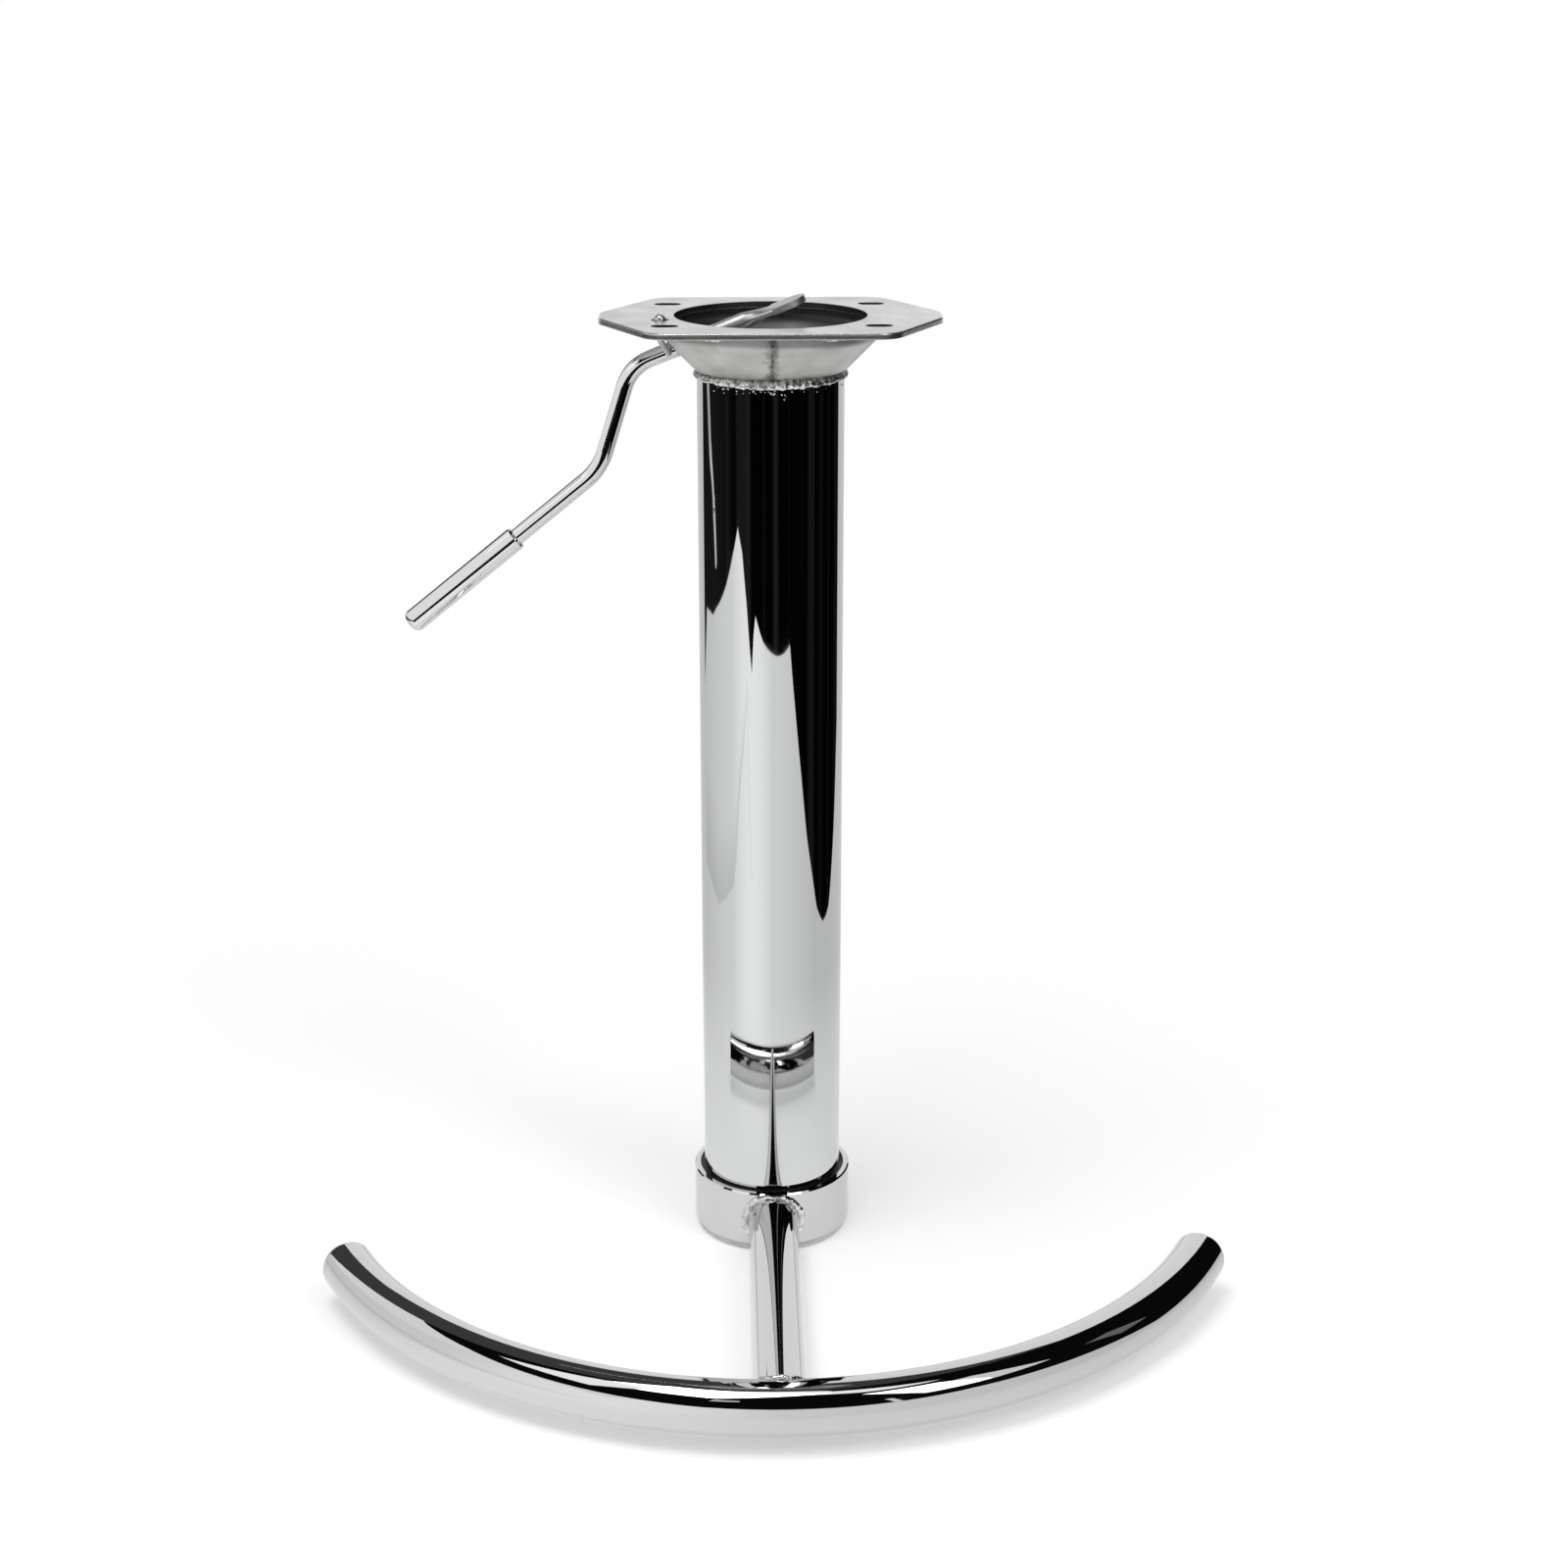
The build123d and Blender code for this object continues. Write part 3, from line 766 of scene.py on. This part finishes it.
camera_ray = tree.nodes["Light Path"].outputs["Is Camera Ray"]
plain_white = tree.nodes.new("ShaderNodeEmission")
white_strength = mix(tree, "FLOAT", camera_ray, paper_light(tree, place), 1.0)
tree.links.new(white_strength, plain_white.inputs["Strength"])
distance = vector_step(tree, "LENGTH", place)["Value"]
reflected = spread(tree, distance, 0.0, 1.0, reflected_near, reflected_far)
direct = spread(tree, distance, 0.0, 1.0, camera_near, camera_far)
far = mix(tree, "FLOAT", camera_ray, reflected, direct)
blend = tree.nodes.new("ShaderNodeMixShader")
tree.links.new(calculate(tree, "MULTIPLY", far, seen), blend.inputs["Fac"])
tree.links.new(shader.outputs[0], blend.inputs[1])
tree.links.new(plain_white.outputs[0], blend.inputs[2])
tree.links.new(blend.outputs[0], tree.nodes["Material Output"].inputs["Surface"])
print("the camera sees plain white beyond", camera_far, "metres")

# %% [markdown]
# The world is a white wall all round for the camera and for reflections. For the light on the
# object it is only half as strong, so that the soft lamps can shape it.

# %% The white wall of the world
world_light, world_seen = 0.5, 1.0

world = bpy.data.worlds.new("studio")
bpy.context.scene.world = world
world.use_nodes = True
tree = world.node_tree
plain = tree.nodes["Background"]
white = tree.nodes.new("ShaderNodeBackground")
for background, strength in ((plain, world_light), (white, world_seen)):
    background.inputs["Color"].default_value = (1, 1, 1, 1)
    background.inputs["Strength"].default_value = strength
choice = tree.nodes.new("ShaderNodeMixShader")
tree.links.new(seen_directly(tree), choice.inputs["Fac"])
tree.links.new(plain.outputs[0], choice.inputs[1])
tree.links.new(white.outputs[0], choice.inputs[2])
tree.links.new(choice.outputs[0], tree.nodes["World Output"].inputs["Surface"])
print("the world lights with", world_light, "and is seen as", world_seen)

# %% [markdown]
# A card is a thin mesh that shows a brightness of its own, whatever shines on it. It could be a lamp,
# but a lamp would light the object too, and these are there only to be mirrored.

# %% Cards that only reflections see
def self_lit(name):
    """A material that shows its own brightness, and the node that sets it."""
    material = bpy.data.materials.new(name)
    material.use_nodes = True
    tree = material.node_tree
    paint = tree.nodes.new("ShaderNodeEmission")
    tree.links.new(paint.outputs[0], tree.nodes["Material Output"].inputs["Surface"])
    return material, paint


def card_paint(name, level):
    """An even brightness, from 0 for black to 1 for white."""
    material, paint = self_lit(name)
    paint.inputs["Color"].default_value = (level, level, level, 1)
    return material


def reflections_only(name, verts, faces, paint):
    """An object of the stage that no camera sees and that changes no light."""
    mesh = bpy.data.meshes.new(name)
    mesh.from_pydata(verts, [], faces)
    mesh.materials.append(paint)
    obj = show(name, mesh)
    obj.visible_camera = False
    obj.visible_diffuse = False
    obj.visible_transmission = False
    obj.visible_volume_scatter = False
    obj.visible_shadow = False


print("cards are mirrored and do nothing else")

# %% [markdown]
# A card is placed by the direction in which the footrest sees it: the angle round from the camera's
# side, positive to the right, and the angle above the floor. It is a patch of a large ball round
# the footrest. A patch nearer than another hides it, as a soft box hides the dark room behind it.

# %% A card as a patch of a ball round the footrest
ball_middle = Vector((0, -0.10, 0.02))
patch_rows, column_width = 12, 3


def direction_to(turn, above):
    """The direction at this angle round and this angle above the floor, in degrees."""
    turned, rise = radians(turn), radians(above)
    return Vector((sin(turned) * cos(rise), -cos(turned) * cos(rise), sin(rise)))


def patch(name, paint, distance, lower_edge, above_to):
    """A patch from a lower edge, given as (angle round, angle above), up to one angle above."""
    columns = []
    for (turn, above), (next_turn, next_above) in zip(lower_edge, lower_edge[1:]):
        parts = max(1, round((next_turn - turn) / column_width))
        columns += [(turn + (next_turn - turn) * k / parts, above + (next_above - above) * k / parts)
                    for k in range(parts)]
    columns.append(lower_edge[-1])
    verts, faces = [], []
    for turn, above in columns:
        for j in range(patch_rows + 1):
            way = direction_to(turn, above + (above_to - above) * j / patch_rows)
            verts.append(ball_middle + distance * way)
    for i in range(len(columns) - 1):
        for j in range(patch_rows):
            a = i * (patch_rows + 1) + j
            faces.append((a, a + patch_rows + 1, a + patch_rows + 2, a + 1))
    reflections_only(name, verts, faces, paint)


print("cards lie round", tuple(round(v, 2) for v in ball_middle))

# %% [markdown]
# The dark room ends above the floor, at a height that changes from side to side, and below its lower
# edge the white of the world is seen. That edge is where the black begins in the footrest. Where two
# of its cards overlap, the nearer one is seen.

# %% The dark room
room_distance, nearer = 5.0, 0.1
black = card_paint("card_black", 0.004)
grey = card_paint("card_grey", 0.06)
room_edge = [(-125, 46), (-90, 43), (-60, 36), (-30, 30), (-22, 17), (22, 17),
             (30, 22), (60, 10), (90, -6), (148, -8)]
left_back_edge = [(-180, 36), (-162, 34), (-154, 18), (-125, 6)]
patch("dark_room", black, room_distance, room_edge, 90)
patch("room_left_back", grey, room_distance - nearer, left_back_edge, 90)
patch("room_back_high", grey, room_distance - nearer, [(148, 50), (180, 46)], 90)
patch("far_wall_foot", black, room_distance - 2 * nearer, [(-138, -3), (148, -3)], 5)
print("the dark room is", room_distance, "metres away")

# %% [markdown]
# Soft boxes hang in the dark room. The white streaks in the footrest and in the lever are their
# mirror images, and a streak's place in the curve of the metal tells where its box hangs.

# %% The soft boxes
box_distance, overhead_distance = 2.1, 2.2
dim = card_paint("card_dim", 0.18)
pale = card_paint("card_pale", 0.9)
bright = card_paint("card_bright", 1.3)
overhead_edge = [(-90, 69), (-45, 70), (-14, 83), (14, 84), (45, 72), (90, 69)]
patch("overhead_box_front", bright, overhead_distance, overhead_edge, 90)
patch("overhead_box_back", bright, overhead_distance, [(90, 83), (270, 83)], 90)
patch("front_box", pale, box_distance, [(-19, 51), (-11, 52)], 56)
patch("right_box", pale, box_distance, [(38, 38), (74, 38)], 60)
patch("door_gap", pale, box_distance, [(27, 24), (29, 24)], 38)
patch("lamp_far_right", dim, box_distance, [(86, 20), (95, 20)], 38)
print("soft boxes hang", box_distance, "and", overhead_distance, "metres away")

# %% [markdown]
# The soft box on the left hangs close to the part, so the lever, which is higher than the footrest,
# sees it lower down. It is a level panel instead of a patch, with its lower edge where the footrest
# sees it end.

# %% The soft box on the left
panel_x, panel_top = -0.52, 1.6
panel_lower_edge = [(-0.49, 0.71), (-0.19, 0.62), (-0.08, 0.63)]
panel_verts = [(panel_x, y, z) for y, low in panel_lower_edge for z in (low, panel_top)]
reflections_only("left_box", panel_verts, [(0, 2, 3, 1), (2, 4, 5, 3)], bright)
print("the left box starts", min(low for y, low in panel_lower_edge), "metres up")

# %% [markdown]
# The white paper curls up round the part. Its upper edge is where the black begins in the tube, and
# its fold is a soft grey line in the tube on the left. Each point of the edge is an angle round the
# tube, again from the camera's side and positive to the right, then a distance from the tube's axis
# and a height.

# %% Where the paper's upper edge and its fold run
rim = [(-133, 0.660, 0.060), (-123, 0.640, 0.126), (-114, 0.615, 0.131), (-104, 0.570, 0.141),
       (-96, 0.520, 0.159), (-85, 0.470, 0.178), (-74, 0.445, 0.194), (-63, 0.425, 0.214),
       (-53, 0.465, 0.224), (-46, 0.470, 0.208), (-39, 0.475, 0.177), (-34, 0.480, 0.147),
       (-31, 0.480, 0.134), (-28, 0.470, 0.160), (-25, 0.450, 0.177), (-14, 0.465, 0.158),
       (0, 0.465, 0.151), (13, 0.470, 0.148), (28, 0.485, 0.150), (36, 0.430, 0.129),
       (47, 0.400, 0.095), (56, 0.385, 0.066), (64, 0.395, 0.043), (76, 0.435, 0.0), (90, 0.405, 0.0)]

# The fold is nearer or farther than the rim on the left, and straight below it elsewhere.
fold_left = [0.495, 0.480, 0.465, 0.450, 0.435, 0.445, 0.460, 0.480, 0.640, 0.750, 0.900]
fold_at = fold_left + [distance for turn, distance, height in rim[len(fold_left):]]
print("points on the paper's rim:", len(rim))

# %% [markdown]
# The upright paper is as bright as the floor's paper in the same direction, apart from its fold on
# the left, where it bends away from the lamps and is a fifth darker.

# %% The paper's brightness
fold_shade, fold_height = 0.80, 0.05
left_full_x, left_gone_x = -0.36, -0.24

curl_paint, paint = self_lit("card_paper")
tree = curl_paint.node_tree
place = tree.nodes.new("ShaderNodeTexCoord").outputs["Object"]
paper_at = axes(tree, place)
shade = spread(tree, paper_at["Z"], fold_shade, 1.0, 0.0, fold_height)
on_left = spread(tree, paper_at["X"], 1.0, 0.0, left_full_x, left_gone_x)
dimmed = mix(tree, "FLOAT", on_left, 1.0, shade)
level = calculate(tree, "MULTIPLY", paper_light(tree, place), dimmed)
tree.links.new(level, paint.inputs["Strength"])
print("the fold is dimmed to", fold_shade)

# %% The curled white paper, seen by reflections only
just_above_floor = 0.001


def around_tube(turn, distance, height):
    """A point at this angle round the tube's axis."""
    return distance * sin(radians(turn)), -distance * cos(radians(turn)), height


def strip(name, first_line, second_line, paint):
    """A band between two lines of points."""
    verts = [point for pair in zip(first_line, second_line) for point in pair]
    faces = [(2 * k, 2 * k + 2, 2 * k + 3, 2 * k + 1) for k in range(len(first_line) - 1)]
    reflections_only(name, verts, faces, paint)


fold_line = [around_tube(row[0], distance, 0) for row, distance in zip(rim, fold_at)]
rim_line = [around_tube(turn, distance, max(height, just_above_floor)) for turn, distance, height in rim]
strip("paper_curl", fold_line, rim_line, curl_paint)
print("the paper stands up to", max(height for turn, distance, height in rim), "metres high")

# %% [markdown]
# Beyond the paper the floor is as dark as the room, with faint grey streaks that run outwards, and
# a little lighter on the left. They give the black in the tube its upright streaks.

# %% The brightness of the dark floor
streak_scale, streak_detail = 4, 1.5
streak_low, streak_high, streak_from, streak_to = 0.001, 0.022, 0.5, 0.75
lighter_turn, left_lift, left_from, left_to = -112, 0.010, 0.55, 1.0

dark_paint, paint = self_lit("card_dark_floor")
tree = dark_paint.node_tree
place = tree.nodes.new("ShaderNodeTexCoord").outputs["Object"]
left_share, outwards = toward(tree, place, lighter_turn)
streak_noise = grain(tree, outwards, streak_scale, streak_detail)
streaks = spread(tree, streak_noise, streak_low, streak_high, streak_from, streak_to)
left_light = spread(tree, left_share, 0.0, left_lift, left_from, left_to)
tree.links.new(calculate(tree, "ADD", streaks, left_light), paint.inputs["Strength"])
print("the dark floor's brightness starts at", streak_low)

# %% The dark floor beyond the paper
room_reach = 4.78

paper_end = [(turn, max(distance, fold)) for (turn, distance, height), fold in zip(rim, fold_at)]
paper_end += [(105, 0.425), (120, 0.560), (130, 0.800)]
near_line = [around_tube(turn, distance, just_above_floor) for turn, distance in paper_end]
far_line = [around_tube(turn, room_reach, just_above_floor) for turn, distance in paper_end]
strip("dark_floor", far_line, near_line, dark_paint)
print("the dark floor reaches", room_reach, "metres out")

# %% [markdown]
# ## Soft lamps
# Two large weak lamps light what isn't a mirror: the zinc, the welds and the floor. The one above
# and to the left is the stronger, and the one on the right fills the shadow.

# %% Two soft lamps
lamp_aim = Vector((0, 0, 0.2))


def soft_lamp(name, place, size, power):
    """A large lamp that points at the part's middle."""
    lamp = bpy.data.lights.new(name, "AREA")
    lamp.shape = "RECTANGLE"
    lamp.size, lamp.size_y = size
    lamp.energy = power
    obj = show(name, lamp)
    obj.location = place
    obj.rotation_euler = (lamp_aim - Vector(place)).to_track_quat("-Z", "Y").to_euler()
    print(name, power, "watts")


soft_lamp("lamp_above", (-0.35, -0.35, 1.9), (0.9, 0.9), 14)
soft_lamp("lamp_right", (0.9, -0.9, 1.6), (0.5, 0.9), 6)

# %% [markdown]
# ## The camera
# The camera's place and lens come from matching the photograph: a long lens about a metre away and
# looking a little down. The numbers are the ones that put the tube, the plate's corners and the
# footrest's ends on the same places of the picture.

# %% The camera
lens_mm, sensor_mm = 60.17, 36.0
camera_place = (-0.0185, -1.0598, 0.5540)
looks_down, looks_right = 18.238, 1.291

camera_data = bpy.data.cameras.new("camera")
camera_data.lens = lens_mm
camera_data.sensor_width = sensor_mm
camera = show("camera", camera_data)
camera.location = camera_place
camera.rotation_euler = (radians(90 - looks_down), 0, radians(-looks_right))
bpy.context.scene.camera = camera
bpy.context.scene.view_settings.view_transform = "Standard"
print("camera at", camera_place)
